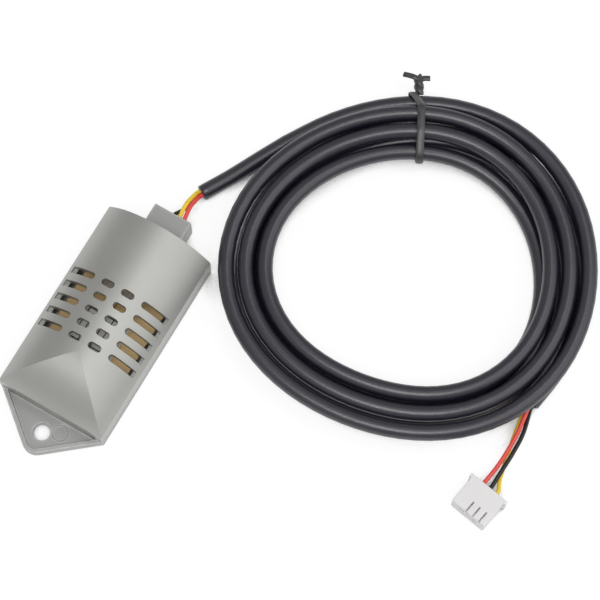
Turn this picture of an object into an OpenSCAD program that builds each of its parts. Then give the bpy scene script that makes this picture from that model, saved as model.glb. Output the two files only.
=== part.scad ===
// Temperature and humidity sensor with a vented hood, a coiled cable and a three-way plug.
// Millimetres. The housing lies flat on z = 0, with the cable end towards +Y.

/* [Housing] */
// Width of the housing
body_w = 26.7; // [24:0.1:32]
// Length of the housing without tab and cable block
body_l = 47; // [44:0.5:56]
// Height of the straight side walls
wall_h = 6.8; // [6.2:0.1:8]
// Height of the crown of the hood
crown_h = 13.8; // [12.5:0.1:16]
// Thickness of the walls
wall_t = 1.5; // [1.2:0.1:1.8]
// Length of the rounded front of the hood
facet_l = 13.4; // [11:0.2:14]
// Height of the base shell's walls, where the hood sits on them
base_h = 3.2; // [2.8:0.1:3.6]
// Thickness of the floor
floor_t = 1.4; // [1.2:0.1:1.6]

/* [Mounting tab] */
// Length of the tab
tab_l = 9.8; // [9:0.2:13]
// Radius of the tab's tip
tab_tip_r = 3.2; // [2.5:0.1:4]
// Thickness of the raised rim
rim_t = 1; // [0.8:0.1:1.2]
// Height of the raised rim
rim_h = 2.6; // [2.2:0.1:3]
// Diameter of the hang hole
hole_d = 4; // [3:0.1:4.5]
// Distance of the hang hole from the housing's front wall
hole_back = 4.4; // [4:0.1:5]
// Diameter of the round mould mark in the tab
mark_d = 3.6; // [3:0.1:4]

/* [Cable block] */
// Width of the cable block
block_w = 9.5; // [9:0.1:12]
// Length of the cable block
block_l = 6; // [5:0.5:8]
// Height of the cable block
block_h = 6.8; // [6.4:0.1:8]
// Sideways place of the wires in the block
wires_x = 1.3; // [1:0.1:1.9]

/* [Vents] */
// Number of rows of vents
vent_rows = 5; // [3:1:5]
// Distance between rows
vent_pitch = 3.5; // [3.2:0.1:3.7]
// Width of a vent
vent_w = 1.65; // [1.3:0.05:1.9]
// Length of a middle vent
vent_mid_l = 3.2; // [2.8:0.1:3.6]
// Distance of a middle vent from the centre line
vent_mid_x = 2.55; // [2.4:0.05:2.8]
// Inner end of a side vent
vent_side_x = 6.1; // [5.6:0.1:6.6]
// Depth that a side vent cuts into the side wall
vent_notch = 0.55; // [0.4:0.05:0.7]

/* [Hood pegs] */
// Diameter of a peg
peg_d = 2; // [1.8:0.1:2.2]
// Clearance round a peg
peg_fit = 0.1; // [0.05:0.05:0.15]
// Wall of a peg socket
socket_t = 1; // [0.8:0.1:1.2]
// Height of a peg socket above the floor
socket_h = 3.4; // [3:0.1:3.8]

/* [Board] */
// Width of the circuit board
board_w = 20.8; // [19:0.2:22]
// Length of the circuit board
board_l = 31; // [29:0.5:32]
// Thickness of the circuit board
board_t = 1.2; // [1:0.1:1.6]
// Height of the board's underside
board_z = 4; // [3.6:0.1:4.2]
// Diameter of the pins that locate the board
pin_d = 1.4; // [1.2:0.1:1.6]
// Clearance round a board pin
pin_fit = 0.15; // [0.1:0.05:0.2]

/* [Parts on the board] */
// Size of the humidity element
element_size = [11.5, 10, 0.8];
// Gap between the board and the humidity element, bridged by its legs
element_gap = 0.6; // [0.4:0.1:1]
// Size of the controller chip's body
chip_size = [8.65, 3.9, 1.5];
// Size of the voltage regulator's body
regulator_size = [2.9, 1.6, 1.1];
// Size of a capacitor
capacitor_size = [2, 1.25, 1];
// Size of a resistor
resistor_size = [1.6, 0.8, 0.5];
// Diameter of the thermistor bead
bead_d = 1.8; // [1.4:0.1:2.2]

/* [Cable] */
// Diameter of the cable
cable_d = 3.7; // [3.4:0.1:3.8]
// Diameter of a core
core_d = 1; // [0.9:0.05:1.05]
// Distance between cores in the cable block
core_pitch = 1.25; // [1.25:0.05:1.4]
// Clearance round a core in its seal
core_fit = 0.05; // [0.03:0.01:0.08]

/* [Coil] */
// Radius of the outermost loop before its leans and corners
coil_r = 39; // [37:0.1:41]
// Gap between neighbouring loops of one layer
loop_gap = 0.68; // [0.66:0.02:0.9]
// Gap between the two layers
layer_gap = 0.55; // [0.5:0.05:0.8]
// Half the difference between the coil's width and its height
coil_oval = 1.25; // [0:0.05:2.5]

/* [Tie] */
// Width of the tie
tie_w = 1.8; // [1.5:0.1:2.2]
// Thickness of the tie
tie_t = 0.7; // [0.6:0.05:0.8]

/* [Plug] */
// Width of the plug's body
plug_w = 9; // [8.6:0.1:9.5]
// Width of the plug's flange
flange_w = 10.2; // [10:0.1:11]
// Thickness of the flange
flange_t = 0.8; // [0.7:0.1:1.2]
// Length of the plug
plug_l = 7.5; // [7:0.1:8.5]
// Height of the plug as it lies
plug_h = 5.7; // [5.2:0.1:6]
// Distance between contacts
contact_pitch = 1.8; // [1.75:0.05:2.1]
// Size of the square hole for a contact
contact_hole = 1.3; // [1.25:0.05:1.35]

/* [Hidden] */

$fn = 48;
// Extra depth of a cut past the face it opens
over = 1;
// Depth by which joined solids run into each other
sunk = 0.1;
// Clearance of the hood's end wall from the cable block
slide_fit = 0.2;
// Step on each side where the tab meets the housing's front wall
tab_step = 0.25;
// Mould mark: place beside the hang hole, gap to the front wall, depth
mark_x = 3.7;
mark_back = 0.8;
mark_depth = 0.45;

// Places along the housing
y_tip = -(tab_l + body_l + block_l) / 2;
y_front = y_tip + tab_l;
y_far = y_front + body_l;
y_end = y_far + block_l;
y_apex = y_front + facet_l;

// Arch of the hood across its width, and the rounded front that meets it in two creases
half_w = body_w / 2;
rise = crown_h - wall_h;
function round_over(reach) = (reach * reach + rise * rise) / (2 * rise);
arch_r = round_over(half_w);
front_r = round_over(facet_l);
round_sides = 96;

// Vents: distance of the first row from the far end
vent_end_margin = 17.15;
vent_first_y = y_far - vent_end_margin;
vent_far_x = half_w - wall_t + vent_notch;

// Pegs
peg_front_inset = 5.2;
peg_far_inset = 3.9;
socket_gap = 0.8;
bore_d = peg_d + 2 * peg_fit;
peg_x = half_w - wall_t - socket_gap - socket_t - bore_d / 2;
peg_tip_gap = 0.5;
PEGS = [for (sx = [-1, 1], y = [y_front + peg_front_inset, y_far - peg_far_inset]) [sx * peg_x, y]];

// Board, its pins and the places of the parts on it
board_far_inset = 6.8;
board_y = y_far - board_far_inset - board_l / 2;
board_top = board_z + board_t;
pin_inset = 1.9;
pin_rise = 0.5;
post_shoulder = 0.8;
PINS = [for (sx = [-1, 1], sy = [-1, 1])
    [sx * (board_w / 2 - pin_inset), board_y + sy * (board_l / 2 - pin_inset)]];
element_y = vent_first_y - 2.6 * vent_pitch;
chip_place = [-0.9, vent_first_y + 2.15];
leg_d = 0.5;
leg_inset = 1.2;
leg_gap = 1;
bead_lift = 0.4;
foot_t = 0.25;
foot_w = 0.45;
foot_l = 1.4;
chip_feet = 7;
chip_foot_pitch = 1.27;
chip_lift = 0.2;
regulator_feet = 2;
regulator_foot_pitch = 1.9;
regulator_lift = 0.15;
regulator_place = [-8, vent_first_y + 4.8];
capacitor_places = [for (i = [0:1]) [-4.6, vent_first_y + 6.4 + 2 * i]];
resistor_places = [for (i = [0:3]) [5.7, vent_first_y + 3.9 + 1.5 * i]];
bead_inset = 3.5;
bead_place = [0, board_y - board_l / 2 + bead_inset];
pad_y = board_y + board_l / 2 - 3.6;
pad_h = 0.7;
pad_gap = 0.12;
pad_top_d = 0.9 * core_d;

// Wire slot through the cable block, a little lower than the wires on the board
slot_drop = 0.75;
slot_side = 0.3;
slot_room = 0.45;
slot_z = board_top + core_d / 2 - slot_drop;
slot_w = 3 * core_pitch + 2 * slot_side;
slot_h = core_d + 2 * slot_room;
core_x = [for (i = [-1:1]) wires_x + i * core_pitch];

// Coil: angles are clockwise from the tie, loops are counted from the plug end
coil_centre = [53.6, 47];
tie_turn = 30.2;
plug_at = 130;
lead_at = -35;
whole_loops = 5;
loops = whole_loops + (plug_at - lead_at) / 360;
rings_per_loop = 24;
lower_loops = 2.09;
climb_loops = 0.5;
turn_back = lower_loops + climb_loops / 2;
loop_pitch = cable_d + loop_gap;
layer_step = cable_d + layer_gap;
// The upper layer leans further than the lower one, so the loops cross
lower_lean = 0.7;
lower_lean_at = 332;
upper_lean = 1.85;
upper_lean_at = 311;
lean_from = 1.94;
lean_to = 2.39;
// Angle of the oval's long axis, and the coil's three slack corners
oval_at = 96;
corner = 0.87;
corner_at = 31;
// The last loop drops to the table and tucks in
drop_from = 5.15;
lead_tuck = 1.1;
tie_gap = 0.5;
tie_at = 2.5;
tie_lift = tie_t + tie_gap;
tie_lift_half = 70;
// Straight end that carries the wires to the plug
plug_run = 6;

// Cable lead and cores, chosen by hand from the photograph
sheath_start = [2.1, 40, 2];
sheath_head = [0.471, 0.882, 0];
lead_points = [[9.6, 54.3, 2.1], [5.9, 46.9, 2]];
core_in_sheath = 0.66;
// Core lengths: flat past its joint, level before the end wall, straight past the block
core_flat = 2.2;
core_level = 1.2;
core_out = 0.5;
// Straight end of a core, and how far its middle is off the straight line
core_straight = 1;
core_arch = [-0.3, 0, 0.8];
core_sag = [0.2, 0, -1];

// Plug
plug_place = [92.6, 12.2];
plug_turn = -10.3;
// Grooves in its top face, open at the mating face and off to one side
slit_w = 0.35;
slit_l = 2.7;
slit_depth = 1.6;
slit_shift = 1.2;
contact_x = [for (i = [-1:1]) i * contact_pitch];
contact_z = plug_h / 2;
terminal_l = 4.6;
terminal_set_back = 1.2;
terminal_fit = 0.1;
terminal_bore = 0.8;
terminal_end_t = 1;

// Curves and tubes
function unit(v) = v / norm(v);
function ease(a, b, x) = let (t = min(1, max(0, (x - a) / (b - a)))) t * t * (3 - 2 * t);
function bump(x) = abs(x) < 1 ? (1 + cos(180 * x)) / 2 : 0;
function mix(a, b, t) = a * (1 - t) + b * t;
function spline_point(a, b, c, d, t) =
    (2 * b + (c - a) * t + (2 * a - 5 * b + 4 * c - d) * t * t
    + (3 * b - a - 3 * c + d) * t * t * t) / 2;
function smooth(p, n) = let (last = len(p) - 1) concat(
    [for (i = [0:last - 1], j = [0:n - 1])
        spline_point(p[max(0, i - 1)], p[i], p[i + 1], p[min(last, i + 2)], j / n)],
    [p[last]]);
function heading(p, i) = unit(p[min(len(p) - 1, i + 1)] - p[max(0, i - 1)]);
function ring(c, t, r, sides) = let (s = unit(cross(t, [0, 0, 1])), u = cross(s, t))
    [for (k = [0:sides - 1]) let (a = 360 * (k + 0.5) / sides) c + r * (cos(a) * s + sin(a) * u)];

// Skins a row of rings with triangles
module skin(rings) {
    n = len(rings);
    sides = len(rings[0]);
    points = [for (r = rings) each r];
    walls = [for (i = [0:n - 2], k = [0:sides - 1])
        let (a = i * sides + k, b = i * sides + (k + 1) % sides)
        each [[a, b, b + sides], [a, b + sides, a + sides]]];
    caps = [for (k = [1:sides - 2]) each [[0, k + 1, k],
        [(n - 1) * sides, (n - 1) * sides + k, (n - 1) * sides + k + 1]]];
    polyhedron(points, concat(walls, caps));
}

// Sweeps a round tube along a path
module tube(path, d, sides) {
    skin([for (i = [0:len(path) - 1]) ring(path[i], heading(path, i), d / 2, sides)]);
}

// Outline of the mounting tab, drawn in by an inset
module tab_outline(inset) {
    tip = [0, y_tip + tab_tip_r];
    root_x = half_w - tab_step;
    reach = norm([root_x, y_front] - tip);
    normal_at = atan2(y_front - tip[1], root_x) - acos(tab_tip_r / reach);
    corner_x = root_x - inset / cos(normal_at);
    touch = (tab_tip_r - inset) * [cos(normal_at), sin(normal_at)];
    translate(tip) circle(tab_tip_r - inset);
    polygon([[-corner_x, y_front], [-touch[0], tip[1] + touch[1]],
        [touch[0], tip[1] + touch[1]], [corner_x, y_front]]);
}

// Hood seen from its end: an arch from wall to wall, drawn in by an inset
module hood_end_view(inset) {
    intersection() {
        translate([0, crown_h - arch_r]) circle(arch_r - inset, $fn = round_sides);
        translate([inset - half_w, base_h]) square([body_w - 2 * inset, crown_h]);
    }
}

// Hood seen from its side: a rounded front and a level crown
module hood_side_view(inset) {
    intersection() {
        union() {
            translate([y_apex, crown_h - front_r]) circle(front_r - inset, $fn = round_sides);
            translate([y_apex, base_h]) square([y_far - y_apex, crown_h]);
        }
        translate([y_front + inset, base_h]) square([body_l - 2 * inset, crown_h]);
    }
}

// Solid of the hood, drawn in by an inset, from its lower edge up
module hood(inset) {
    intersection() {
        translate([0, y_far, 0]) rotate([90, 0, 0]) linear_extrude(body_l) hood_end_view(inset);
        translate([-half_w, 0, 0]) rotate([90, 0, 90]) linear_extrude(body_w) hood_side_view(inset);
    }
}

module vent_rows_of() {
    for (row = [0:vent_rows - 1]) translate([0, vent_first_y - row * vent_pitch, 0]) children();
}

module vents() {
    middle_half = (vent_mid_l - vent_w) / 2;
    vent_rows_of() for (side = [-1, 1]) {
        translate([side * vent_mid_x, 0, wall_h]) linear_extrude(crown_h) {
            square([2 * middle_half, vent_w], center = true);
            for (end = [-1, 1]) translate([end * middle_half, 0]) circle(vent_w / 2);
        }
        translate([0, 0, wall_h]) mirror([side < 0 ? 1 : 0, 0, 0]) linear_extrude(crown_h) {
            translate([vent_side_x + vent_w / 2, 0]) circle(vent_w / 2);
            translate([vent_side_x + vent_w / 2, -vent_w / 2])
                square([vent_far_x - vent_side_x - vent_w / 2, vent_w]);
        }
    }
}

// Slot that the cores pass through, along Y
module wire_slot(from_y, to_y, from_z) {
    translate([wires_x - slot_w / 2, from_y, from_z])
        cube([slot_w, to_y - from_y, slot_z + slot_h / 2 - from_z]);
}

module base_shell() {
    color([0.66, 0.66, 0.64]) difference() {
        union() {
            difference() {
                translate([-half_w, y_front, 0]) cube([body_w, body_l, base_h]);
                translate([wall_t - half_w, y_front + wall_t, floor_t])
                    cube([body_w - 2 * wall_t, body_l - 2 * wall_t, base_h]);
            }
            linear_extrude(floor_t) tab_outline(0);
            linear_extrude(rim_h) difference() {
                tab_outline(0);
                tab_outline(rim_t);
            }
            translate([-block_w / 2, y_far, 0]) cube([block_w, block_l, base_h]);
            translate([-block_w / 2, y_far + slide_fit, 0]) cube([block_w, block_l - slide_fit, block_h]);
            for (p = PEGS) translate(p) cylinder(d = bore_d + 2 * socket_t, h = floor_t + socket_h);
            for (p = PINS) translate(p) {
                cylinder(d = pin_d + 2 * post_shoulder, h = board_z);
                cylinder(d = pin_d, h = board_top + pin_rise);
            }
        }
        translate([0, y_front - hole_back, -over]) cylinder(d = hole_d, h = rim_h + 2 * over);
        translate([mark_x, y_front - mark_d / 2 - mark_back, floor_t - mark_depth])
            cylinder(d = mark_d, h = over);
        for (p = PEGS) translate([p[0], p[1], floor_t]) cylinder(d = bore_d, h = socket_h + over);
        wire_slot(y_far, y_end + over, slot_z - slot_h / 2);
    }
}

module vent_cover() {
    color([0.72, 0.72, 0.70]) {
        difference() {
            hood(0);
            hood(wall_t);
            translate([wall_t - half_w, y_front + wall_t, base_h - over])
                cube([body_w - 2 * wall_t, body_l - 2 * wall_t, 2 * over]);
            vents();
            wire_slot(y_far - wall_t - over, y_far + over, base_h - over);
        }
        intersection() {
            hood(wall_t / 2);
            for (p = PEGS) translate([p[0], p[1], base_h]) cylinder(d = peg_d, h = crown_h);
        }
        for (p = PEGS) translate([p[0], p[1], floor_t + peg_tip_gap])
            cylinder(d = peg_d, h = base_h - floor_t - peg_tip_gap + over);
    }
}

module circuit_board() {
    color([0.78, 0.61, 0.37]) difference() {
        translate([-board_w / 2, board_y - board_l / 2, board_z]) cube([board_w, board_l, board_t]);
        for (p = PINS) translate([p[0], p[1], board_z - over])
            cylinder(d = pin_d + 2 * pin_fit, h = board_t + 2 * over);
    }
}

module on_board(place) {
    translate([place[0], place[1], board_top]) children();
}

module block_at_centre(size) {
    translate([-size[0] / 2, -size[1] / 2, 0]) cube(size);
}

module humidity_element() {
    color([0.85, 0.85, 0.83]) on_board([0, element_y]) {
        translate([0, 0, element_gap]) block_at_centre(element_size);
        for (sx = [-1, 1], sy = [-1, 1])
            translate([sx * (element_size[0] / 2 - leg_inset), sy * element_size[1] / 4, 0])
                cylinder(d = leg_d, h = element_gap + sunk);
    }
}

module thermistor() {
    color([0.12, 0.11, 0.1]) on_board(bead_place) {
        translate([0, 0, bead_d / 2 + bead_lift]) sphere(d = bead_d);
        for (sy = [-1, 1]) translate([0, sy * leg_gap / 2, 0]) cylinder(d = leg_d, h = bead_d / 2);
    }
}

// Small body with two rows of flat feet
module footed_chip(size, lift, feet, pitch) {
    translate([0, 0, lift]) block_at_centre([size[0], size[1], size[2] - lift]);
    for (sy = [-1, 1], i = [0:feet - 1])
        translate([(i - (feet - 1) / 2) * pitch, sy * size[1] / 2, 0])
            block_at_centre([foot_w, foot_l, lift + foot_t]);
}

module controller_chip() {
    color([0.5, 0.46, 0.42]) on_board(chip_place)
        footed_chip(chip_size, chip_lift, chip_feet, chip_foot_pitch);
}

module voltage_regulator() {
    color([0.16, 0.16, 0.17]) on_board(regulator_place)
        footed_chip(regulator_size, regulator_lift, regulator_feet, regulator_foot_pitch);
}

module capacitors() {
    color([0.72, 0.58, 0.42]) for (p = capacitor_places) on_board(p) block_at_centre(capacitor_size);
}

module resistors() {
    color([0.1, 0.1, 0.1]) for (p = resistor_places) on_board(p) block_at_centre(resistor_size);
}

module wire_solder_joints() {
    color([0.75, 0.75, 0.76]) for (x = core_x) on_board([x, pad_y])
        cylinder(d1 = core_pitch - pad_gap, d2 = pad_top_d, h = pad_h);
}

module wire_seal() {
    color([0.3, 0.3, 0.3]) difference() {
        wire_slot(y_far + slide_fit, y_end, slot_z - slot_h / 2);
        for (x = core_x) translate([x, y_far - over, slot_z]) rotate([-90, 0, 0])
            cylinder(d = core_d + 2 * core_fit, h = block_l + 2 * over);
    }
}

// Place of a core on a ring round the sheath's centre
function core_spot(centre, head, at, r) = let (s = unit(cross(head, [0, 0, 1])), u = cross(s, head))
    centre + r * (cos(at) * s + sin(at) * u);

// Core from its solder joint to the sheath, rounded before and after the block
function lead_core(i, at, off) = let (x = core_x[i], top = board_top + pad_h + core_d / 2,
    out = [x, y_end + core_out, slot_z], head = unit(sheath_head),
    end = core_spot(sheath_start, head, at, core_in_sheath), last = end - core_straight * head) concat(
    smooth([[x, pad_y, top], [x, pad_y + core_flat, top], [x, y_far - core_level, slot_z],
        [x, y_far, slot_z]], 2),
    [[x, y_end, slot_z]],
    smooth([out, mix(out, last, 0.5) + off, last], 4), [end]);

module lead_core_tube(i, at, off) {
    tube(lead_core(i, at, off), core_d, 8);
}

module red_lead_wire() {
    color([0.85, 0.2, 0.18]) lead_core_tube(2, 30, core_arch);
}

module yellow_lead_wire() {
    color([0.95, 0.78, 0.12]) lead_core_tube(1, 150, core_arch);
}

module black_lead_wire() {
    color([0.08, 0.08, 0.08]) lead_core_tube(0, 270, core_sag);
}

// Coil
up_way = [-sin(tie_turn), cos(tie_turn)];
right_way = [cos(tie_turn), sin(tie_turn)];
function away(at) = cos(at) * up_way + sin(at) * right_way;
function loop_angle(s) = plug_at - 360 * s;
function wrapped(at) = (at + 3780) % 360 - 180;
function climb(s) = ease(lower_loops, lower_loops + climb_loops, s);
function drop(s) = ease(drop_from, loops, s);
function layer_leans(s) = let (at = loop_angle(s))
    mix(lower_lean * cos(at - lower_lean_at), upper_lean * cos(at - upper_lean_at),
        ease(lean_from, lean_to, s));
function outwards(s) = abs(s - turn_back) / turn_back;
function coil_radius(s) = let (at = loop_angle(s)) coil_r
    - loop_pitch * turn_back * (1 - outwards(s)) + layer_leans(s) + coil_oval * cos(2 * (at - oval_at))
    + corner * cos(3 * (at - corner_at)) - lead_tuck * drop(s);
function coil_height(s) = cable_d / 2 + tie_lift * bump(wrapped(loop_angle(s)) / tie_lift_half)
    + layer_step * (climb(s) - drop(s));
function coil_point(s) = let (p = coil_centre + coil_radius(s) * away(loop_angle(s)))
    [p[0], p[1], coil_height(s)];
coil_curve = [for (i = [0:round(loops * rings_per_loop)]) coil_point(i / rings_per_loop)];
// Level headings of the coil's two straight ends
near = 0.001;
function coil_head(s, way) = let (v = coil_point(s + way * near) - coil_point(s)) unit([v[0], v[1], 0]);
plug_end_head = coil_head(0, -1);
lead_end_head = coil_head(loops, 1);
plug_end = coil_point(0) + plug_run * plug_end_head;
lead_end = coil_point(loops) + cable_d * lead_end_head;
coil_path = concat([plug_end], coil_curve, [lead_end]);

// Least distance between loops, from each point to the stretches half a loop or more away
function to_stretch(p, a, b) = let (t = min(1, max(0, (p - a) * (b - a) / ((b - a) * (b - a)))))
    norm(p - mix(a, b, t));
loop_clear = min([for (i = [0:len(coil_path) - 1], j = [i + rings_per_loop / 2:1:len(coil_path) - 2])
    to_stretch(coil_path[i], coil_path[j], coil_path[j + 1])]) - cable_d;
echo(least_gap_between_loops = loop_clear);

module cable_coil() {
    color([0.1, 0.1, 0.11]) tube(coil_path, cable_d, 6);
}

// Free stretch of the cable, from the coil to the end of its sheath, straight at both ends
lead_straight = 1.5;
lead_path = concat([lead_end],
    smooth(concat([lead_end + lead_straight * lead_end_head], lead_points,
        [sheath_start + lead_straight * unit(sheath_head)]), 4), [sheath_start]);

module cable_lead() {
    color([0.1, 0.1, 0.11]) tube(lead_path, cable_d, 8);
}

// Tie round the loops, in the plane of the coil's radius at its place
tie_loops = [for (k = [0:whole_loops]) (plug_at - tie_at) / 360 + k];
tie_spots = [for (s = tie_loops) [coil_radius(s), coil_height(s)]];
tie_reach = max([for (p = tie_spots) p[0]]);
tie_z = [for (p = tie_spots) if (p[0] == tie_reach) p[1]][0];
tie_start = coil_centre + (tie_reach + cable_d / 2 + tie_gap / 2 + sunk) * away(tie_at);
// Neck: an oval bar, twisted, with both tails out of its end
neck_l = 5;
neck_d = 2.2;
neck_oval = 0.2;
neck_turns = 1.25;
neck_rings = 12;
neck_sides = 12;
neck_lean = 5;
tail_d = 1.2;
tail_from = 4.2;
tail_tips = [[28, 88.2, tie_z], [34, 90.4, tie_z]];

module tie_band(grow) {
    hull() for (p = tie_spots) translate(p) circle(cable_d / 2 + grow, $fn = 32);
}

// Point along the neck's middle, and the neck's section there
neck_way = away(tie_at - neck_lean);
neck_side = away(tie_at - neck_lean + 90);
function neck_point(l) = let (p = tie_start + l * neck_way) [p[0], p[1], tie_z];
function neck_ring(t) = [for (k = [0:neck_sides - 1]) let (a = 360 * k / neck_sides,
    r = neck_d / 2 * (1 + neck_oval * cos(2 * a - 720 * neck_turns * t)))
    neck_point(neck_l * t) + r * [cos(a) * neck_side[0], cos(a) * neck_side[1], sin(a)]];

module twist_tie() {
    color([0.07, 0.07, 0.07]) {
        translate(coil_centre) rotate(90 + tie_turn - tie_at) rotate([90, 0, 0])
            translate([0, 0, -tie_w / 2]) linear_extrude(tie_w) difference() {
                tie_band(tie_gap / 2 + tie_t);
                tie_band(tie_gap / 2);
            }
        skin([for (i = [0:neck_rings]) neck_ring(i / neck_rings)]);
        for (tip = tail_tips) tube([neck_point(tail_from), tip], tail_d, 6);
    }
}

// Plug, drawn with its wire side at y = 0 and its mating face towards -Y
module at_plug() {
    translate(plug_place) rotate(plug_turn) children();
}

module plug_housing() {
    color([0.92, 0.91, 0.9]) at_plug() difference() {
        union() {
            translate([-plug_w / 2, -plug_l, 0]) cube([plug_w, plug_l, plug_h]);
            translate([-flange_w / 2, -flange_t, 0]) cube([flange_w, flange_t, plug_h]);
        }
        for (x = contact_x) {
            translate([x - contact_hole / 2, -plug_l - over, contact_z - contact_hole / 2])
                cube([contact_hole, plug_l + 2 * over, contact_hole]);
            translate([x + slit_shift - slit_w / 2, -plug_l - over, plug_h - slit_depth])
                cube([slit_w, slit_l + over, plug_h]);
        }
    }
}

module plug_terminals() {
    side = contact_hole - 2 * terminal_fit;
    color([0.8, 0.8, 0.78]) at_plug() for (x = contact_x)
        translate([x, -plug_l + terminal_set_back, contact_z]) difference() {
            translate([-side / 2, 0, -contact_hole / 2])
                cube([side, terminal_l, contact_hole - terminal_fit]);
            translate([0, -over, 0]) rotate([-90, 0, 0])
                cylinder(d = terminal_bore, h = terminal_l - terminal_end_t + over);
        }
}

// Point in the plug's frame, in the part's frame
function plug_point(p) = [
    plug_place[0] + p[0] * cos(plug_turn) - p[1] * sin(plug_turn),
    plug_place[1] + p[0] * sin(plug_turn) + p[1] * cos(plug_turn), p[2]];

// Core from the sheath's end to its contact, by way of points chosen by hand
core_to_plug = 1.2;
red_way = [[91.85, 27.3, 3], [91.95, 22.7, 2.9], [91.7, 18, 2.9]];
yellow_way = [[91.4, 26.8, 0.9], [92.5, 20.9, 0.8], [93.5, 15.9, 1.6]];
black_way = [[93, 27.4, 2.6], [93.2, 22.3, 3.2], [93, 17.4, 3.2]];
function plug_core(i, at, way) = let (x = contact_x[i],
    start = core_spot(plug_end, plug_end_head, at, core_in_sheath),
    back = -plug_l + terminal_set_back + terminal_l) concat([start],
    smooth(concat([start + core_straight * plug_end_head], way,
        [plug_point([x, core_to_plug, contact_z])]), 4),
    [plug_point([x, 0, contact_z]), plug_point([x, back, contact_z])]);

module red_plug_wire() {
    color([0.85, 0.2, 0.18]) tube(plug_core(0, 90, red_way), core_d, 8);
}

module yellow_plug_wire() {
    color([0.95, 0.78, 0.12]) tube(plug_core(2, 330, yellow_way), core_d, 8);
}

module black_plug_wire() {
    color([0.08, 0.08, 0.08]) tube(plug_core(1, 210, black_way), core_d, 8);
}

base_shell();
vent_cover();
circuit_board();
humidity_element();
thermistor();
controller_chip();
voltage_regulator();
capacitors();
resistors();
wire_solder_joints();
wire_seal();
red_lead_wire();
yellow_lead_wire();
black_lead_wire();
cable_lead();
cable_coil();
twist_tie();
red_plug_wire();
yellow_plug_wire();
black_plug_wire();
plug_housing();
plug_terminals();
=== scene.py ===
import math

import bmesh
import bpy
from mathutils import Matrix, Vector


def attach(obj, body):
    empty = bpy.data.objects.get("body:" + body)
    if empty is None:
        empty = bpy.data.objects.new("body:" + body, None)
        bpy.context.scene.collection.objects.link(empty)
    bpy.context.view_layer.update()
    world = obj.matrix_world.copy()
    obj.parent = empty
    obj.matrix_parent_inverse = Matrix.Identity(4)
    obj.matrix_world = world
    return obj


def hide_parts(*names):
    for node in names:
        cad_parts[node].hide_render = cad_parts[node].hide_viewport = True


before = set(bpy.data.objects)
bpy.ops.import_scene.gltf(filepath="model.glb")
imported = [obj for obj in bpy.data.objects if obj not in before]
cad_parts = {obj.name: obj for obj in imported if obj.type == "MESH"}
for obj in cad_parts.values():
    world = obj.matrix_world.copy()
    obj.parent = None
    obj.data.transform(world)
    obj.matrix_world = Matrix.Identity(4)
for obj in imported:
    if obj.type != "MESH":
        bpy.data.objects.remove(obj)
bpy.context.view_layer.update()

# Metres in a millimetre: routes and details are written in millimetres
MM = 0.001
UP = Vector((0, 0, 1))

# Board and cable block, as in the solids
BOARD_TOP = 5.2
BLOCK_NEAR_Y = 25.4
BLOCK_FAR_Y = 31.4
PAD_Y = 15.0
PAD_H = 0.7
SLOT_Z = 4.95
CORE_X = (0.05, 1.3, 2.55)
CHIP_PLACE = (-0.9, 10.4)
CAPACITOR_PLACES = ((-4.6, 14.65), (-4.6, 16.65))
RESISTOR_PLACES = tuple((5.7, 12.15 + 1.5 * i) for i in range(4))
ELEMENT_Y = -0.85
ELEMENT_SIZE = (11.5, 10.0)
ELEMENT_TOP = 6.6

# Cable, its cores and its coil, as in the solids
CABLE_D = 3.7
CORE_D = 1.0
COIL_CENTRE = Vector((53.6, 47.0))
TIE_TURN = math.radians(30.2)
COIL_R = 39.0
LOOP_GAP = 0.68
LAYER_GAP = 0.55
LOOP_PITCH = CABLE_D + LOOP_GAP
LAYER_STEP = CABLE_D + LAYER_GAP
PLUG_AT = 130.0
LEAD_AT = -35.0
WHOLE_LOOPS = 5
LOOPS = WHOLE_LOOPS + (PLUG_AT - LEAD_AT) / 360
LOWER_LOOPS = 2.09
CLIMB_LOOPS = 0.5
TURN_BACK = LOWER_LOOPS + CLIMB_LOOPS / 2
# The upper layer leans further than the lower one, so the loops cross
LOWER_LEAN = 0.7
LOWER_LEAN_AT = 332
UPPER_LEAN = 1.85
UPPER_LEAN_AT = 311
LEAN_FROM = 1.94
LEAN_TO = 2.39
# The coil is a little oval, with three slack corners
COIL_OVAL = 1.25
OVAL_AT = 96
CORNER = 0.87
CORNER_AT = 31
# The last loop drops to the table and tucks in
DROP_FROM = 5.15
DROP_TUCK = 1.1
# Half the angle over which the loops rise to cross the tie
TIE_RISE_HALF = 70
PLUG_RUN = 6.0
SHEATH_START = Vector((2.1, 40.0, 2.0))
SHEATH_HEAD = Vector((0.471, 0.882, 0)).normalized()
LEAD_POINTS = (Vector((9.6, 54.3, 2.1)), Vector((5.9, 46.9, 2.0)))
LEAD_STRAIGHT = 1.5
CORE_IN_SHEATH = 0.66
CORE_OUT = 0.5
CORE_ARCH = Vector((-0.3, 0, 0.8))
CORE_SAG = Vector((0.2, 0, -1.0))
RED_WAY = [Vector(p) for p in ((91.85, 27.3, 3.0), (91.95, 22.7, 2.9), (91.7, 18.0, 2.9))]
YELLOW_WAY = [Vector(p) for p in ((91.4, 26.8, 0.9), (92.5, 20.9, 0.8), (93.5, 15.9, 1.6))]
BLACK_WAY = [Vector(p) for p in ((93.0, 27.4, 2.6), (93.2, 22.3, 3.2), (93.0, 17.4, 3.2))]

# Tie and plug, as in the solids
TIE_W = 1.8
TIE_T = 0.7
TIE_GAP = 0.5
TIE_AT = 2.5
TIE_LIFT = TIE_T + TIE_GAP
PLUG_PLACE = Vector((92.6, 12.2, 0))
PLUG_TURN = math.radians(-10.3)
CONTACT_PITCH = 1.8
CONTACT_Z = 2.85


# Curves

def ease(a, b, x):
    t = min(1.0, max(0.0, (x - a) / (b - a)))
    return t * t * (3 - 2 * t)


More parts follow.
